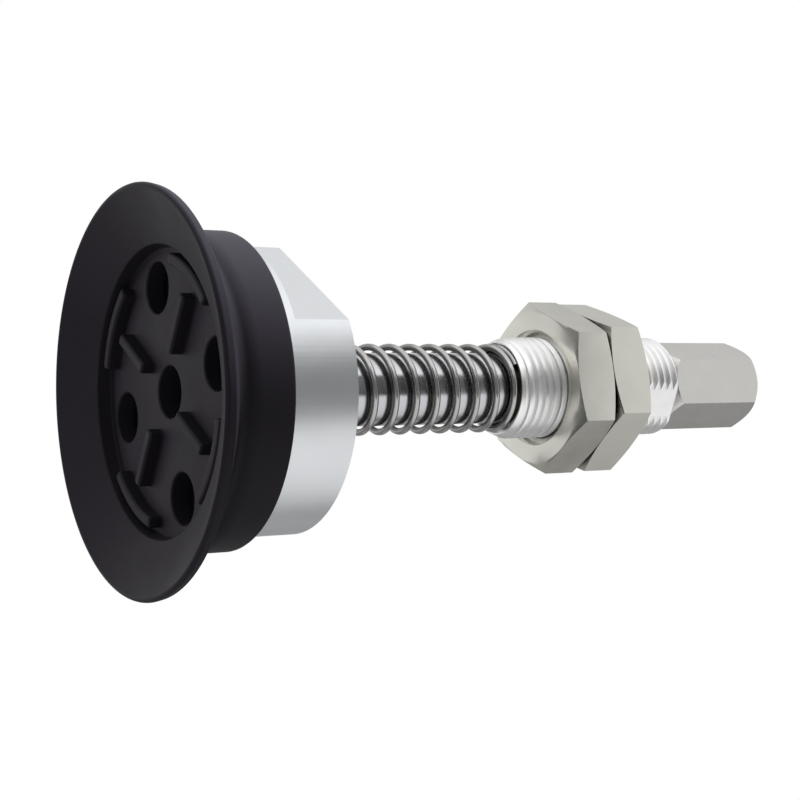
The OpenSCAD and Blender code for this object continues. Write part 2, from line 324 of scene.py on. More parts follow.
FLOAT, VECTOR = "NodeSocketFloat", "NodeSocketVector"
grain_group, given, wanted = new_group(
    "grain",
    [("Place", VECTOR, None), ("Fine scale", FLOAT, 3000.0), ("Broad scale", FLOAT, 90.0)],
    ["Height", "Mask"],
)
fine = noise_into(grain_group, given["Place"], given["Fine scale"], detail=3)
broad = noise_into(grain_group, given["Place"], given["Broad scale"], detail=4)
grain_group.links.new(fine, wanted["Height"])
grain_group.links.new(broad, wanted["Mask"])
print("grain group:", len(grain_group.nodes), "nodes")

# %% The turning group
turning_group, given, wanted = new_group(
    "turning",
    [("Place", VECTOR, None), ("Grooves", FLOAT, 5000.0), ("Stretch", FLOAT, 0.02)],
    ["Height"],
)
split = split_into(turning_group, given["Place"])
along = math_into(turning_group, "ADD", radius_into(turning_group, split), split["Z"])
round_place = turning_group.nodes.new("ShaderNodeCombineXYZ")
for axis in "XY":
    short = math_into(turning_group, "MULTIPLY", split[axis], given["Stretch"])
    turning_group.links.new(short, round_place.inputs[axis])
turning_group.links.new(along, round_place.inputs["Z"])
rings = noise_into(turning_group, round_place.outputs[0], given["Grooves"], detail=3, roughness=0.7)
turning_group.links.new(rings, wanted["Height"])
print("turning group:", len(turning_group.nodes), "nodes")


# %% A material's common parts
def new_material(name, colour, roughness, drift, spread, metallic=1.0, broad=90.0, fine=3000.0):
    """A Principled material. The grain's mask lets its colour drift and its roughness spread."""
    mask_low, mask_high = 0.3, 0.7
    material = bpy.data.materials.new(name)
    material.use_nodes = True
    tree = material.node_tree
    shader = tree.nodes["Principled BSDF"]
    shader.inputs["Metallic"].default_value = metallic
    place = tree.nodes.new("ShaderNodeTexCoord").outputs["Object"]
    grain = tree.nodes.new("ShaderNodeGroup")
    grain.node_tree = grain_group
    grain.inputs["Fine scale"].default_value = fine
    grain.inputs["Broad scale"].default_value = broad
    tree.links.new(place, grain.inputs["Place"])
    mask = grain.outputs["Mask"]
    darker = tuple(max(0.0, c - drift) for c in colour)
    lighter = tuple(min(1.0, c + drift) for c in colour)
    tree.links.new(mix_into(tree, mask, darker, lighter), shader.inputs["Base Color"])
    rough = slope_into(tree, mask, mask_low, mask_high, roughness - spread, roughness + spread)
    tree.links.new(rough, shader.inputs["Roughness"])
    return material, tree, shader, place, grain.outputs["Height"]


def add_bump(tree, shader, height, depth):
    """Bump from a height, its depth in millimetres."""
    bump = tree.nodes.new("ShaderNodeBump")
    bump.inputs["Distance"].default_value = depth * MM
    tree.links.new(height, bump.inputs["Height"])
    tree.links.new(bump.outputs["Normal"], shader.inputs["Normal"])


def add_turning(tree, shader, place, grooves, depth):
    """The fine grooves of a lathe tool, with the depth of the deepest in millimetres."""
    turning = tree.nodes.new("ShaderNodeGroup")
    turning.node_tree = turning_group
    turning.inputs["Grooves"].default_value = grooves
    tree.links.new(place, turning.inputs["Place"])
    add_bump(tree, shader, turning.outputs["Height"], depth)


def grained(name, colour, depth, **look):
    """A material whose only relief is its grain, with the depth of that in millimetres."""
    material, tree, shader, _, grain = new_material(name, colour, **look)
    add_bump(tree, shader, grain, depth)
    return material


# %% [markdown]
# The rubber is moulded nitrile: nearly black, satin, with a faint bloom that lightens it in
# patches. Its surface copies a matt mould, so the grain is very fine and shallow, and the
# reflection is set lower than that of plain plastic.

# %% Rubber
rubber = grained("cup rubber", (0.0185, 0.016, 0.021), depth=0.02, roughness=0.5, drift=0.004,
                 spread=0.07, metallic=0.0, broad=60.0, fine=2500.0)
rubber.node_tree.nodes["Principled BSDF"].inputs["Specular IOR Level"].default_value = 0.11
seal_rubber = grained("seal rubber", (0.012, 0.012, 0.013), depth=0.01, roughness=0.4, drift=0.004,
                      spread=0.06, metallic=0.0)
print("rubber:", rubber.name, "and", seal_rubber.name)

# %% [markdown]
# Metal takes all its looks from what it reflects, so each metal here differs mainly in how rough it
# is and which way its marks run. The adapter is cut from drawn aluminium bar, whose fine lines run
# along the axis: a noise that is squeezed to a fiftieth along Z makes them. The rod is ground and
# polished, so its marks run round it and are shallow.

# %% Aluminium and polished chrome
aluminium, tree, shader, place, _ = new_material(
    "adapter aluminium", (0.795, 0.815, 0.835), roughness=0.36, drift=0.02, spread=0.04
)
drawn = tree.nodes.new("ShaderNodeVectorMath")
drawn.operation = "MULTIPLY"
drawn.inputs[1].default_value = (1, 1, 0.02)
tree.links.new(place, drawn.inputs[0])
add_bump(tree, shader, noise_into(tree, drawn.outputs[0], 900.0, detail=4, roughness=0.7), 0.02)

chrome, tree, shader, place, _ = new_material(
    "rod chrome", (0.61, 0.61, 0.635), roughness=0.19, drift=0.02, spread=0.04
)
add_turning(tree, shader, place, grooves=6000.0, depth=0.002)
print("metals:", aluminium.name, "and", chrome.name)

# %% [markdown]
# The spring's wire keeps its bright steel colour on the outside of the coil. On the side that faces
# the rod, where the turns shade each other, it is painted dark: that darkening is painted shade. The
# distance from the axis tells the two apart, so it mixes their colours.

# %% Spring wire
wire_steel, tree, shader, place, grain = new_material(
    "spring wire", (0.5, 0.495, 0.49), roughness=0.15, drift=0.04, spread=0.04, broad=400.0
)
add_bump(tree, shader, grain, 0.01)
spring_outer_r = reach("compression_spring")[2]
dark_r, bright_r = spring_outer_r - 0.9, spring_outer_r - 0.1
from_axis = radius_into(tree, split_into(tree, place))
# Painted shade: the wire darkens towards the inside of the coil, where the turns shade each other.
coil_inner_shade = slope_into(tree, from_axis, dark_r * MM, bright_r * MM, smooth=True)
unshaded_wire = shader.inputs["Base Color"].links[0].from_socket
tree.links.new(mix_into(tree, coil_inner_shade, (0.14, 0.135, 0.13), unshaded_wire), shader.inputs["Base Color"])
print("wire is bright from radius", round(bright_r, 2), "mm outwards")

# %% [markdown]
# The sleeve is bright zinc and the nuts are satin nickel, a warmer and greyer white. Shade is
# painted where the two nuts meet, on the chamfers that lean towards each other and hide each other
# from the light. Those faces carry an attribute that marks this painted shade, set when the nuts
# are cut, and the painted shade deepens towards the height at which the nuts meet.

# %% Zinc and nickel
zinc = grained("sleeve zinc", (0.98, 0.98, 0.99), depth=0.012, roughness=0.37, drift=0.02,
               spread=0.06, broad=500.0)
port_nickel = grained("adapter nickel", (0.69, 0.68, 0.655), depth=0.0015, roughness=0.27,
                      drift=0.012, spread=0.02, broad=150.0)

nickel, tree, shader, place, _ = new_material(
    "nut nickel", (0.74, 0.73, 0.665), roughness=0.22, drift=0.02, spread=0.04, broad=150.0
)
add_turning(tree, shader, place, grooves=3000.0, depth=0.0015)
meeting_z = (reach("front_nut")[1] + reach("rear_nut")[0]) / 2
# Painted shade: the marked chamfers darken towards the height where the nuts meet.
above = math_into(tree, "SUBTRACT", split_into(tree, place)["Z"], meeting_z * MM)
deep = slope_into(tree, math_into(tree, "ABSOLUTE", above), 0.8 * MM, 0.15 * MM, high=0.95)
gap_shade = tree.nodes.new("ShaderNodeAttribute")
gap_shade.attribute_name = "gap_shade"
gap_shade_amount = math_into(tree, "MULTIPLY", gap_shade.outputs["Fac"], deep)
unshaded_nickel = shader.inputs["Base Color"].links[0].from_socket
tree.links.new(mix_into(tree, gap_shade_amount, unshaded_nickel, (0.03, 0.027, 0.025)), shader.inputs["Base Color"])
print("the nuts meet at", round(meeting_z, 2), "mm")

# %% [markdown]
# What lies inside is plainer: blackened screws, a turned steel plate, bushes of sintered bronze,
# which is full of small pores that hold oil, and a matt plastic washer. The bronze is painted much
# darker than oiled bronze, as painted shade for the dark pocket that the bushes sit in.

# %% Finishes inside
black_steel = grained("black screw steel", (0.05, 0.05, 0.055), depth=0.01, roughness=0.35,
                      drift=0.01, spread=0.05)
# A very dark bronze: its own oiled colour plus painted shade for the pocket.
bronze = grained("bush bronze", (0.11, 0.08, 0.055), depth=0.02, roughness=0.45, drift=0.02,
                 spread=0.06, broad=800.0)
damper = grained("damper plastic", (0.02, 0.02, 0.021), depth=0.015, roughness=0.6, drift=0.004,
                 spread=0.06, metallic=0.0)
plate_steel, tree, shader, place, _ = new_material(
    "plate steel", (0.5, 0.5, 0.51), roughness=0.4, drift=0.04, spread=0.06
)
add_turning(tree, shader, place, grooves=3000.0, depth=0.01)
print("materials:", len(bpy.data.materials))

# %% [markdown]
# ## The pieces that stay as CAD made them
#
# The screws, the plate, the seals and the bushes lie deep inside. Their CAD shape is right, so they
# only get a finish.

# %% Finish the inner pieces
inner_finishes = {
    "cup_screws": black_steel, "core_plate": plate_steel, "face_o_ring": seal_rubber,
    "rod_o_ring": seal_rubber, "port_o_ring": seal_rubber, "front_bush": bronze,
    "rear_bush": bronze,
}
for node, material in inner_finishes.items():
    frame["nodes"][node].data.materials.clear()
    frame["nodes"][node].data.materials.append(material)
    print(node, "gets", material.name)

# %% [markdown]
# ## The suction cup
#
# The cup is one rubber moulding: a thin flared lip, a waist that lets the lip tilt, a thick body,
# and inside the lip a sunk floor with a ring of low ribs. The ribs keep the workpiece off the
# floor, so that the vacuum can spread. The round body is turned from one outline in which every
# corner is already an arc, because rubber has no sharp edges: the lip's rim is as round as its
# thinness allows, and the waist runs softly into the back of the lip.

# %% The cup's outline
_, cup_h, lip_r = reach("suction_cup")
core_z, _, core_r = reach("core_plate")
lip_edge_h, lip_lean, lip_depth, floor_z = 1.9, 0.15, 4.3, 6.35
recess_r, recess_draft, cup_r = 23.2, 0.25, 25.7
shoulder_r, shoulder_z, shoulder_turn = 4.9, 9.5, 25
floor_round, rim_round, rim_sink = 0.5, 0.35, 0.15
face_round, back_round, waist_round, edge_round = 0.65, 0.5, 1.5, 0.5

lean = math.radians(shoulder_turn)
waist_r = cup_r - shoulder_r * (1 - math.cos(lean)) + waist_round * math.cos(lean)
waist_z = shoulder_z - shoulder_r * math.sin(lean) - waist_round * math.sin(lean)
cup_outline = (
    [(0, floor_z)]
    + arc(recess_r - recess_draft - floor_round, floor_z - floor_round, floor_round, 90, 10, 5)
    + arc(recess_r + rim_round, lip_depth - rim_sink, rim_round, 175, 245, 5)
    + arc(lip_r - face_round, face_round, face_round, 245, 360, 9)
    + arc(lip_r - lip_lean - back_round, lip_edge_h - back_round, back_round, 5, 65, 6)
    + arc(waist_r, waist_z, waist_round, 245, 180 - shoulder_turn, 10)
    + arc(cup_r - shoulder_r, shoulder_z, shoulder_r, -shoulder_turn, 0, 10)
    + arc(cup_r - edge_round, cup_h - edge_round, edge_round, 0, 90, 5)
    + [(core_r, cup_h), (core_r, core_z), (0, core_z)]
)
cup = turn("suction_cup_rubber", cup_outline, steps=192)
print("cup:", len(cup.data.vertices), "corners from", len(cup_outline), "outline points")

# %% [markdown]
# The ribs are moulded with the floor, so each is a small bar with a rounded top that is joined to
# the body. Four run outwards between the screw holes, and four follow the recess wall. The
# straight one is drawn as a cross-section and extruded along its length, and the curved one is the
# same cross-section spun through forty degrees. Each is made once, on the X axis, and a copy with
# its own mesh is turned into every quarter.

# %% Ribs
rib_w, rib_r1, rib_r2, rib_round = 1.9, 7.2, 17.3, 0.5
arc_rib_r, arc_rib_angle = 20.2, 40
rib_sunk, rib_edge = 0.4, 0.4
rib_root_z = floor_z + rib_sunk


def rib_section(inner, outer):
    """Cross-section of a rib that hangs from the floor, with its free corners rounded."""
    return (
        [(inner, rib_root_z)]
        + arc(inner + rib_round, lip_depth + rib_round, rib_round, 180, 270, 4)
        + arc(outer - rib_round, lip_depth + rib_round, rib_round, 270, 360, 4)
        + [(outer, rib_root_z)]
    )


def straight_rib():
    """One straight rib that runs outwards along X."""
    rib = draw("straight_rib", rib_section(-rib_w / 2, rib_w / 2))
    select_all()
    bpy.ops.mesh.edge_face_add()
    bpy.ops.transform.rotate(
        value=math.radians(90), orient_axis="Z", center_override=(0, 0, 0)
    )
    bpy.ops.transform.translate(value=(rib_r1 * MM, 0, 0))
    length = ((rib_r2 - rib_r1) * MM, 0, 0)
    bpy.ops.mesh.extrude_region_move(TRANSFORM_OT_translate={"value": length})
    face_outwards(merge=False)
    return rib


def curved_rib():
    """One curved rib whose middle is on X."""
    rib = draw("curved_rib", rib_section(arc_rib_r, arc_rib_r + rib_w))
    select_all()
    bpy.ops.mesh.edge_face_add()
    sweep = math.radians(arc_rib_angle)
    bpy.ops.mesh.spin(steps=16, angle=sweep, center=(0, 0, 0), axis=(0, 0, 1))
    face_outwards(merge=False)
    middle = sum((v.co for v in rib.data.vertices), Vector()) / len(rib.data.vertices)
    rib.data.transform(Matrix.Rotation(-math.atan2(middle.y, middle.x), 4, "Z"))
    return rib


def copy_of(piece, placement):
    """A copy of a piece with its own mesh, put in its place by a matrix."""
    pick(piece)
    bpy.ops.object.duplicate()
    twin = bpy.context.object
    twin.data.transform(placement)
    return twin


ribs = [straight_rib(), curved_rib()]
for rib in ribs:
    soften(rib, rib_edge, segments=3, angle=60)
for quarter in (45, 135, 225, 315):
    for rib in ribs:
        combine(cup, copy_of(rib, Matrix.Rotation(math.radians(quarter), 4, "Z")), "UNION")
for rib in ribs:
    bpy.data.objects.remove(rib)
print("cup with ribs:", len(cup.data.polygons), "faces")

# %% [markdown]
# Five holes go through the floor: one for the vacuum, and four for the screws that clamp the cup to
# its adapter. Each is cut with a drill that flares at the floor, which rounds the hole's rim in the
# same cut. The flare's wide end stops a hair below the floor, because a Boolean is only sure of
# itself where no two faces lie in one plane.

# %% Holes in the cup
hole_r, screw_circle_r, flare, hair = 4.15, 17.2, 0.35, 0.0005
skirt_r = hole_r + flare + 0.6
hole_outline = (
    [(0, floor_z - OVERRUN), (skirt_r, floor_z - OVERRUN), (skirt_r, floor_z - hair)]
    + arc(hole_r + flare, floor_z + flare, flare, 270, 180, 4)
    + [(hole_r, cup_h + OVERRUN), (0, cup_h + OVERRUN)]
)
hole_places = [(0, 0)] + [
    (screw_circle_r * math.cos(math.radians(a)), screw_circle_r * math.sin(math.radians(a)))
    for a in (0, 90, 180, 270)
]
drill = turn("drill", hole_outline, steps=48)
for x, y in hole_places:
    combine(cup, copy_of(drill, Matrix.Translation((x * MM, y * MM, 0))))
bpy.data.objects.remove(drill)
fit(cup, "plunger", rubber, "suction_cup")

# %% [markdown]
# ## The adapter
#
# The aluminium adapter is turned, then two flats are milled for a wrench. They stop short of the
# cup, which leaves a thin round flange. A box stands for the milling cutter.

# %% Turn and mill the adapter
adapter_z, adapter_back_z, adapter_r = reach("cup_adapter")
flange_h, adapter_af, adapter_flat_turn = 2.4, 39.6, 44
rod_r = reach("piston_rod")[2]
play, passage_r, seat_depth = 0.03, 4.0, 1.5
seat_z = adapter_back_z - seat_depth


def mill_flats(piece, across, turned, z1, z2):
    """Mill two opposite flats, a distance across, from one height to another."""
    size = 100 * MM
    for side in (0, 180):
        bpy.ops.mesh.primitive_cube_add(size=1)
        cutter = bpy.context.object
        cutter.data.transform(Matrix.Diagonal((size, size, (z2 - z1) * MM, 1)))
        place = Vector((across / 2 * MM + size / 2, 0, (z1 + z2) / 2 * MM))
        cutter.data.transform(Matrix.Translation(place))
        cutter.data.transform(Matrix.Rotation(math.radians(turned + side), 4, "Z"))
        combine(piece, cutter)


adapter = turn("adapter_body", [
    (passage_r, adapter_z), (adapter_r, adapter_z), (adapter_r, adapter_back_z),
    (rod_r + play, adapter_back_z), (rod_r + play, seat_z), (passage_r, seat_z),
], steps=192)
mill_flats(adapter, adapter_af, adapter_flat_turn, adapter_z + flange_h, adapter_back_z + OVERRUN)
soften(adapter, 0.35, segments=3)
fit(adapter, "plunger", aluminium, "cup_adapter")

# %% [markdown]
# ## The rod and the spring
#
# The rod is a ground and polished tube with a thinner threaded end at each side, hidden in its
# neighbours. The spring is drawn as a curve whose points follow the coil by a formula: one closed
# turn at each end and open turns between, with a wire of round section and square-cut ends.

# %% Turn the rod
rod_z, rod_back_z, _ = reach("piston_rod")
rod_bore_r, spigot_r, spigot_edge = 3.0, 5.0, 0.3
shoulder_back_z = reach("threaded_sleeve")[1] + 0.02
rod = turn("rod_body", [
    (rod_bore_r, rod_z), (spigot_r - spigot_edge, rod_z), (spigot_r, rod_z + spigot_edge),
    (spigot_r, seat_z), (rod_r, seat_z), (rod_r, shoulder_back_z), (spigot_r, shoulder_back_z),
    (spigot_r, rod_back_z - spigot_edge), (spigot_r - spigot_edge, rod_back_z),
    (rod_bore_r, rod_back_z),
], steps=160)
fit(rod, "plunger", chrome, "piston_rod")

# %% Wind the spring
spring_low, spring_high, _ = reach("compression_spring")
wire_r, open_turns, end_rise, wire_end_turn = 0.6, 9.6, 1.35, 251.5
turns = open_turns + 2
coil_r = spring_outer_r - wire_r
pitch = (spring_high - spring_low - 2 * wire_r - 2 * end_rise) / open_turns
points_per_turn = 48


def wire_height(turn_number):
    """Height of the wire's centre after a number of turns from the adapter."""
    open_part = min(max(turn_number - 1, 0), open_turns)
    closed_part = min(turn_number, 1) + max(turn_number - 1 - open_turns, 0)
    return spring_low + wire_r + pitch * open_part + end_rise * closed_part


def wire_angle(turn_number):
    """Angle about the axis after a number of turns, in radians."""
    return math.radians(wire_end_turn) - math.tau * (turns - turn_number)


deselect()
bpy.ops.curve.primitive_nurbs_path_add()
spring = bpy.context.object
spring.name = "spring_wire"
spring.data.splines.clear()
line = spring.data.splines.new("POLY")
count = round(turns * points_per_turn)
line.points.add(count)
for i, point in enumerate(line.points):
    t = turns * i / count
    x, y = coil_r * math.cos(wire_angle(t)), coil_r * math.sin(wire_angle(t))
    point.co = (x * MM, y * MM, wire_height(t) * MM, 1)
spring.data.bevel_depth = wire_r * MM
spring.data.bevel_resolution = 6
spring.data.use_fill_caps = True
pick(spring)
bpy.ops.object.convert(target="MESH")
spring = bpy.context.object
select_all()
face_outwards()
print("spring:", len(spring.data.vertices), "corners, pitch", round(pitch, 3), "mm")

# %% [markdown]
# When the plunger slides back, only the open turns close up. A wire that was simply scaled would
# go flat, so each ring of the wire's skin moves as one: the share of the motion that it takes
# grows evenly along the open turns, from none at the sleeve to all at the adapter.

# %% Let the open turns close up with the slide
def nearest_turn(corner):
    """The turn number at which the wire passes closest to a corner of its skin."""
    slack = 0.02
    angle = math.atan2(corner.y, corner.x)
    first = ((angle - wire_angle(0)) / math.tau) % 1
    passes = [first + k for k in range(math.ceil(turns)) if first + k <= turns + slack]
    return min(passes, key=lambda t: abs(wire_height(t) - corner.z / MM))


pick(spring)
bpy.ops.object.shade_smooth_by_angle(angle=math.radians(40))
spring.data.materials.clear()
spring.data.materials.append(wire_steel)
low_end, high_end = wire_height(1), wire_height(1 + open_turns)
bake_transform(spring, "spring", "plunger", start=(0, 0, high_end * MM), end=(0, 0, low_end * MM))
shares = spring.data.attributes["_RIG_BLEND"].data
for corner, share in zip(spring.data.vertices, shares):
    t = nearest_turn(corner.co)
    share.value = 1 - min(max((t - 1) / open_turns, 0), 1)
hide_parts("compression_spring")
print("open turns between", round(low_end, 2), "and", round(high_end, 2), "mm")

# %% [markdown]
# ## Threads
#
# A thread is cut as on a lathe: the cross-section of its groove is screwed up the axis by the Screw
# modifier, which leaves a coil, and the coil is taken away from the blank. Outside threads lose a
# groove that is widest at the crest. Inside threads lose a groove that is widest at the hole, half
# a pitch further on, so that nut and sleeve mesh. The run-outs on chamfers and flats come out as
# they do in the workshop.

# %% A coil that cuts a thread
FLANK = math.tan(math.radians(30))
STAND_OUT = 0.3


def groove_coil(side, thread_pitch, z1, z2):
    """A closed coil from z1 to z2. One side of its groove is given as (radius, half width)."""
    steps_per_turn = 96
    outline = [(r, -half) for r, half in reversed(side)] + side
    piece = draw("groove", [(r, z + z1) for r, z in outline])
    pick(piece)
    helix = piece.modifiers.new("screw", "SCREW")
    helix.screw_offset = thread_pitch * MM
    helix.iterations = math.ceil((z2 - z1) / thread_pitch)
    helix.steps = helix.render_steps = steps_per_turn
    bpy.ops.object.modifier_apply(modifier=helix.name)
    select_all()
    bpy.ops.mesh.remove_doubles(threshold=SAME_POINT)
    bpy.ops.mesh.fill_holes(sides=0)
    face_outwards(merge=False)
    return piece


def whole_pitch_below(z, thread_pitch):
    """The start of a thread that runs out past z: a whole number of pitches from zero."""
    return math.floor(z / thread_pitch - 1) * thread_pitch


def cut_thread(piece, root_r, crest_r, thread_pitch, z1, z2):
    """Cut an outside thread between two heights, with its root and crest slightly rounded."""
    ease = 0.05
    wide = thread_pitch / 2 - thread_pitch / 16
    narrow = wide - (crest_r - root_r) * FLANK
    side = [(root_r, narrow - 0.1), (root_r + 0.06, narrow), (crest_r - ease, wide - 1.2 * ease),
            (crest_r + 0.005, wide), (crest_r + STAND_OUT, wide)]
    start_z = whole_pitch_below(z1, thread_pitch)
    combine(piece, groove_coil(side, thread_pitch, start_z, z2 + thread_pitch))


def tap_thread(piece, hole_r, crest_r, thread_pitch, z1, z2, blind):
    """Tap an inside thread between two heights, half a pitch on from the outside one."""
    narrow = thread_pitch / 16 + 0.03
    wide = narrow + (crest_r - hole_r) * FLANK
    side = [(crest_r, narrow), (hole_r - 0.005, wide), (hole_r - STAND_OUT, wide)]
    start_z = z1 + thread_pitch if blind else whole_pitch_below(z1, thread_pitch) + thread_pitch / 2
    combine(piece, groove_coil(side, thread_pitch, start_z, z2 + thread_pitch))


# %% Thread and mill the sleeve
sleeve_z, sleeve_back_z, sleeve_r = reach("threaded_sleeve")
thread_pitch, root_r = 1.5, 8.4
sleeve_af, sleeve_flat_z, sleeve_flat_turn = 16.0, sleeve_back_z - 12.0, 127
lead_in_w, lead_in_h, back_edge = 0.8, 2.0, 0.25
pocket_r, pocket_z, bush_r = spring_outer_r + 0.15, sleeve_z + 0.8, reach("front_bush")[2]
sleeve = turn("sleeve_body", [
    (pocket_r, sleeve_z), (sleeve_r - lead_in_w, sleeve_z), (sleeve_r, sleeve_z + lead_in_h),
    (sleeve_r, sleeve_back_z - back_edge), (sleeve_r - back_edge, sleeve_back_z),
    (bush_r, sleeve_back_z), (bush_r, pocket_z), (pocket_r, pocket_z),
], steps=96)
mill_flats(sleeve, sleeve_af, sleeve_flat_turn, sleeve_flat_z, sleeve_back_z + OVERRUN)
cut_thread(sleeve, root_r, sleeve_r, thread_pitch, sleeve_z, sleeve_back_z)
fit(sleeve, "sleeve", zinc, "threaded_sleeve")

# %% [markdown]
# ## The nuts, the washer and the port adapter
#
# A hexagon is a cylinder with six sides, and its rounded corners come from crossing it with a
# turned blank: that gives the curved line where the chamfer meets each flat. A countersink opens
# each threaded hole. The port adapter is made in the same way, with a finer thread in its port,
# and that hole is blind: it ends inside the piece.

# %% Hexagons and threaded holes
def hexagon(name, across, z1, z2, turned, face_r1, face_r2, chamfer_angle):
    """A hexagonal bar with its corners turned off at both ends."""
    corner_r = across / 2 / math.cos(math.radians(30))
    slope = math.tan(math.radians(chamfer_angle))
    beyond = corner_r + OVERRUN
    blank = turn(name, [
        (0, z1), (face_r1, z1), (beyond, z1 + (beyond - face_r1) * slope),
        (beyond, z2 - (beyond - face_r2) * slope), (face_r2, z2), (0, z2),
    ], steps=192)
    deselect()
    depth = (z2 - z1 + 2 * OVERRUN) * MM
    bpy.ops.mesh.primitive_cylinder_add(vertices=6, radius=corner_r * MM, depth=depth)
    bar = bpy.context.object
    corner = bar.data.vertices[0].co
    off = math.radians(turned) - math.atan2(corner.y, corner.x)
    bar.data.transform(Matrix.Rotation(off, 4, "Z"))
    bar.data.transform(Matrix.Translation((0, 0, (z1 + z2) / 2 * MM)))
    return combine(blank, bar, "INTERSECT")


def threaded_hole(piece, hole_r, crest_r, hole_pitch, sink_r, z1, z2, blind=False):
    """Drill, countersink and tap a hole from z1 to z2. A blind one is closed at z1."""
    outline = [(hole_r, z2 - sink_r + hole_r), (sink_r + OVERRUN, z2 + OVERRUN), (0, z2 + OVERRUN)]
    if blind:
        outline = [(0, z1), (hole_r, z1)] + outline
    else:
        outline = [(0, z1 - OVERRUN), (sink_r + OVERRUN, z1 - OVERRUN),
                   (hole_r, z1 + sink_r - hole_r)] + outline
    combine(piece, turn("drill", outline, steps=96))
    tap_thread(piece, hole_r, crest_r, hole_pitch, z1, z2, blind)


# %% Cut the nuts
nut_af, nut_face_r, nut_chamfer = 27.0, 13.4, 22
nut_thread_r, nut_crest_r, countersink_r = 8.45, sleeve_r + 0.05, sleeve_r + 1.4
lean_low, lean_high, gap_shade_reach = 0.8, 0.995, 1.1
for node in ("front_nut", "rear_nut"):
    nut_z, nut_back_z, _ = reach(node)
    nut = hexagon(node + "_body", nut_af, nut_z, nut_back_z, corner_turn(node), nut_face_r,
                  nut_face_r, nut_chamfer)
    threaded_hole(nut, nut_thread_r, nut_crest_r, thread_pitch, countersink_r, nut_z, nut_back_z)
    soften(nut, 0.18, segments=2, angle=25)
    # Mark the chamfers near the meeting height, which get painted shade in the nickel.
    gap_shade = nut.data.attributes.new("gap_shade", "FLOAT", "FACE")
    for face, spot in zip(nut.data.polygons, gap_shade.data):
        leaning = lean_low < abs(face.normal.z) < lean_high
        spot.value = float(leaning and abs(face.center.z / MM - meeting_z) < gap_shade_reach)
    fit(nut, node, nickel, node)

# %% Turn the damping washer
washer_z, washer_back_z, washer_r = reach("stop_washer")
washer_round = 0.25
washer_arc_r = washer_r - washer_round
washer = turn("washer_ring", (
    [(spigot_r + play, washer_z)]
    + arc(washer_arc_r, washer_z + washer_round, washer_round, 270, 360, 4)
    + arc(washer_arc_r, washer_back_z - washer_round, washer_round, 0, 90, 4)
    + [(spigot_r + play, washer_back_z)]
), steps=96)
fit(washer, "plunger", damper, "stop_washer")

# %% Cut the port adapter
port_z, port_back_z, _ = reach("port_adapter")
port_r = next(m for m in record["mounts"] if m["name"] == "port")["dims"]["r_mm"]
port_af, port_chamfer, port_pitch, port_crest_r = 14.2, 45, 0.907, 4.86
port_front_r, port_rear_r = port_af / 2 - 0.4, port_af / 2 - 0.6
port_floor_z, spigot_hole_z = port_back_z - 8.8, port_z + 9.5
through_z = port_floor_z + 0.5
port = hexagon("port_body", port_af, port_z, port_back_z, corner_turn("port_adapter"),
               port_front_r, port_rear_r, port_chamfer)
combine(port, turn("spigot_hole", [
    (0, port_z - OVERRUN), (spigot_r + play, port_z - OVERRUN), (spigot_r + play, spigot_hole_z),
    (rod_bore_r, spigot_hole_z), (rod_bore_r, through_z), (0, through_z),
], steps=96))
threaded_hole(port, port_r, port_crest_r, port_pitch, port_r + 0.7, port_floor_z, port_back_z,
              blind=True)
soften(port, 0.12, segments=2, angle=25)
fit(port, "plunger", port_nickel, "port_adapter")

# %% [markdown]
# ## The studio
#
# The camera sees the world white. What metal mirrors is another matter: a plain white room would
# make it look like chalk. So reflections see a room of their own, whose brightness changes with
# the bearing about the part's axis and falls off straight above and below. That draws light and
# dark bands along the round pieces and gives each flat of a hexagon its own tone.

# %% Helpers for the world
def background(tree, strength):
    """A white background. Its strength is a number or another node's output."""
    node = tree.nodes.new("ShaderNodeBackground")
    node.inputs["Color"].default_value = (1, 1, 1, 1)
    if isinstance(strength, (int, float)):
        node.inputs["Strength"].default_value = strength
    else:
        tree.links.new(strength, node.inputs["Strength"])
    return node.outputs[0]


def choose(tree, factor, first, second):
    """One of two shaders: the second where the factor is one."""
    node = tree.nodes.new("ShaderNodeMixShader")
    for socket, value in zip(node.inputs, (factor, first, second)):
        tree.links.new(value, socket)
    return node.outputs[0]


def grey_ramp(tree, value, stops):
    """A grey that follows a list of (position, level) pairs."""
    ramp = tree.nodes.new("ShaderNodeValToRGB")
    tree.links.new(value, ramp.inputs[0])
    elements = ramp.color_ramp.elements
    for i, (position, level) in enumerate(stops):
        element = elements[i] if i < 2 else elements.new(1.0)
        element.position = position
        element.color = (level, level, level, 1)
    return ramp.outputs[0]


# %% The room that metal mirrors
room_by_bearing = [
    (-170, 0.75), (-155, 0.83), (-140, 0.88), (-127, 0.97), (-112, 0.68), (-101, 0.6), (-90, 0.64),
    (-55, 0.7), (-15, 0.66), (14, 0.54), (22, 0.34), (30, 0.17), (38, 0.2), (52, 0.32), (66, 0.22),
    (84, 0.26), (95, 0.68), (108, 0.68), (127, 0.5), (139, 0.44), (150, 0.38), (158, 0.62),
    (166, 0.75), (178, 0.75),
]
room_by_height = [(0.02, 0.05), (0.08, 0.4), (0.14, 0.5), (0.21, 1.0), (0.87, 1.0), (0.95, 0.06)]
room_level, ambient_level = 1.35, 0.4

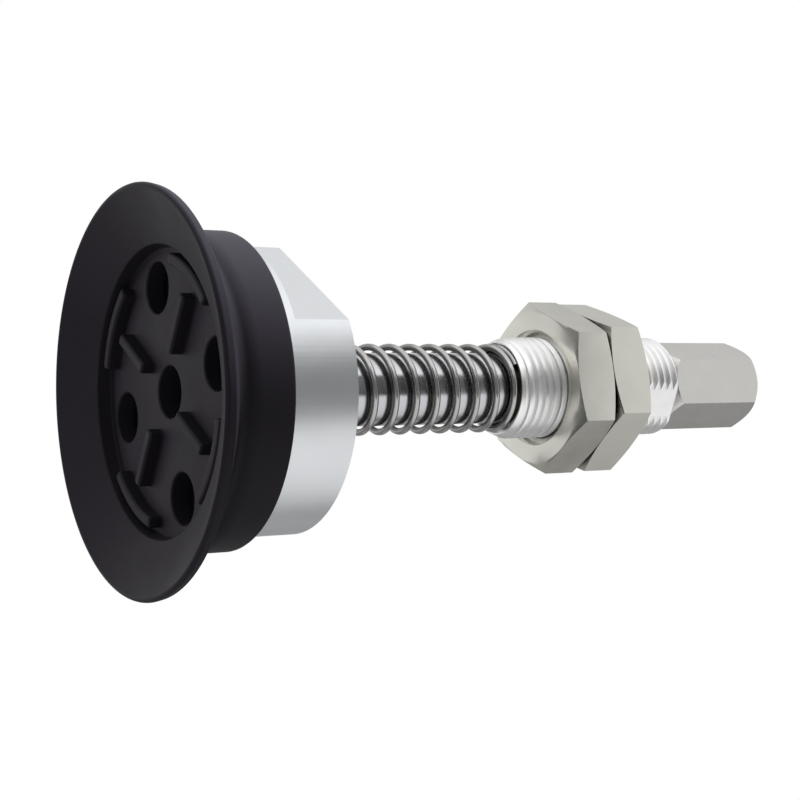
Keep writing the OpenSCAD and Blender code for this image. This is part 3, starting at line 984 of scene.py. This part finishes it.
scene = bpy.context.scene
scene.view_settings.view_transform = "Standard"
scene.world = bpy.data.worlds.new("studio")
scene.world.use_nodes = True
tree = scene.world.node_tree
tree.nodes.remove(tree.nodes["Background"])
direction = split_into(tree, tree.nodes.new("ShaderNodeTexCoord").outputs["Generated"])
bearing = math_into(tree, "ARCTAN2", direction["Y"], direction["X"])
turned = math_into(tree, "MULTIPLY", math_into(tree, "ADD", bearing, math.pi), 1 / math.tau)
height = math_into(tree, "MULTIPLY", math_into(tree, "ADD", direction["Z"], 1.0), 0.5)
stops = [((angle + 180) / 360, level) for angle, level in room_by_bearing]
around, upwards = grey_ramp(tree, turned, stops), grey_ramp(tree, height, room_by_height)
strength = math_into(tree, "MULTIPLY", around, upwards)
room = background(tree, math_into(tree, "MULTIPLY", strength, room_level))

rays = tree.nodes.new("ShaderNodeLightPath").outputs
lit = choose(tree, rays["Is Glossy Ray"], background(tree, ambient_level), room)
seen = math_into(tree, "MAXIMUM", rays["Is Camera Ray"], rays["Is Transmission Ray"])
shown = choose(tree, seen, lit, background(tree, 1.0))
tree.links.new(shown, tree.nodes["World Output"].inputs["Surface"])
print("room:", len(room_by_bearing), "bearings at up to", room_level, "times white")

# %% [markdown]
# The part stands on a pale floor, and the camera looks up at it from below the floor's level. So
# the floor is one-sided: it is opaque from above, where it keeps the part's shadow, and clear from
# below. Away from the part it fades out, so that it has no edge and no grey haze of its own.

# %% Floor
floor_drop, fade_start, fade_end = 0.2 * MM, 120 * MM, 300 * MM
floor_material = bpy.data.materials.new("pale floor")
floor_material.use_nodes = True
tree = floor_material.node_tree
paint = tree.nodes["Principled BSDF"]
paint.inputs["Base Color"].default_value = (0.9, 0.9, 0.9, 1)
paint.inputs["Roughness"].default_value = 0.7
clear = tree.nodes.new("ShaderNodeBsdfTransparent").outputs[0]
away = tree.nodes.new("ShaderNodeVectorMath")
away.operation = "LENGTH"
tree.links.new(tree.nodes.new("ShaderNodeTexCoord").outputs["Object"], away.inputs[0])
far = slope_into(tree, away.outputs["Value"], fade_start, fade_end, smooth=True)
below = tree.nodes.new("ShaderNodeNewGeometry").outputs["Backfacing"]
shown = choose(tree, math_into(tree, "MAXIMUM", below, far), paint.outputs[0], clear)
tree.links.new(shown, tree.nodes["Material Output"].inputs["Surface"])

deselect()
bpy.ops.mesh.primitive_plane_add(size=4.0, location=(0, 0, -floor_drop))
floor = bpy.context.object
floor.name = "floor"
floor.data.materials.append(floor_material)
floor.visible_diffuse = floor.visible_glossy = floor.visible_transmission = False
floor.visible_shadow = False
print("floor fades out between", fade_start / MM, "and", fade_end / MM, "mm from the part")

# %% [markdown]
# Two soft lamps light the rubber and throw the shadow. Metal doesn't mirror them, because a lamp
# in a polished flat is a hard white patch, and the room above already gives the metal its light.

# %% Lamps
middle = (cad_low + cad_high) / 2


def soft_lamp(name, direction, distance, size, watts, colour):
    """A square area lamp that looks at the middle of the part."""
    deselect()
    away = Vector(direction).normalized()
    bpy.ops.object.light_add(type="AREA", location=middle + away * distance)
    lamp = bpy.context.object
    lamp.name = name
    lamp.rotation_euler = away.to_track_quat("Z", "Y").to_euler()
    lamp.data.size = size
    lamp.data.energy = watts
    lamp.data.color = colour
    lamp.visible_glossy = False
    print(f"{name}: {watts} W, {distance} m away")


soft_lamp("key lamp", (-0.88, -0.2, 0.42), 0.7, 0.35, 25.0, (0.92, 1.0, 0.98))
soft_lamp("front lamp", (-0.2, 0.5, -0.85), 0.8, 0.3, 3.3, (1.0, 1.0, 1.0))

# %% [markdown]
# Three dark cards stand near the part, as black flags do in a studio. Only reflections see them.
# They put a soft dark band on the adapter's side and along the rod, and shade the face of the front
# nut. Each card's border fades out, so that no hard line shows in the metal.

# %% Dark cards with soft edges
def card_paint(grey):
    """A grey that fades out towards the card's border."""
    border, solid = 0.5, 0.36
    material = bpy.data.materials.new("card")
    material.use_nodes = True
    tree = material.node_tree
    paint = tree.nodes["Principled BSDF"]
    paint.inputs["Base Color"].default_value = (grey, grey, grey, 1)
    paint.inputs["Roughness"].default_value = 1.0
    split = split_into(tree, tree.nodes.new("ShaderNodeUVMap").outputs[0])
    off = [math_into(tree, "ABSOLUTE", math_into(tree, "SUBTRACT", split[axis], 0.5))
           for axis in "XY"]
    fade = slope_into(tree, math_into(tree, "MAXIMUM", *off), border, solid, smooth=True)
    tree.links.new(fade, paint.inputs["Alpha"])
    return material


def dark_card(name, card_middle, wide, high, grey):
    """An upright card parallel to the XZ plane, its place and sizes in millimetres."""
    deselect()
    bpy.ops.mesh.primitive_plane_add(size=1)
    card = bpy.context.object
    card.name = name
    card.data.transform(Matrix.Diagonal((wide * MM, high * MM, 1, 1)))
    card.data.transform(Matrix.Rotation(math.radians(90), 4, "X"))
    card.data.transform(Matrix.Translation(Vector(card_middle) * MM))
    card.data.materials.append(card_paint(grey))
    card.visible_camera = card.visible_diffuse = card.visible_shadow = False
    card.visible_transmission = False
    print(f"{name}: {wide} by {high} mm")


dark_card("card for the adapter", (48, -150, 60), 176, 120, grey=0.2)
dark_card("card for the rod", (5, -150, 148), 215, 72, grey=0.02)
dark_card("card for the front nut", (5, -150, -55), 260, 110, grey=0.02)

# %% [markdown]
# The camera looks up into the cup from one side. Its three axes are given as directions in the
# part's frame, and the second is squared up to the first, so that together they make a rotation.

# %% Camera
camera_place = Vector((61.05, -243.98, -110.14)) * MM
right = Vector((0.14224, -0.51652, 0.84438)).normalized()
forward = Vector((-0.19899, 0.82071, 0.53557))
forward = (forward - right * forward.dot(right)).normalized()
up = right.cross(forward)
deselect()
bpy.ops.object.camera_add()
camera = bpy.context.object
camera.name = "camera"
camera.data.sensor_width = 36.0
camera.data.lens = 78.43
camera.data.clip_start = 0.01
axes = Matrix((right, up, -forward)).transposed().to_4x4()
camera.matrix_world = Matrix.Translation(camera_place) @ axes
scene.camera = camera
print("camera is", round((camera_place - middle).length / MM), "mm from the part's middle")
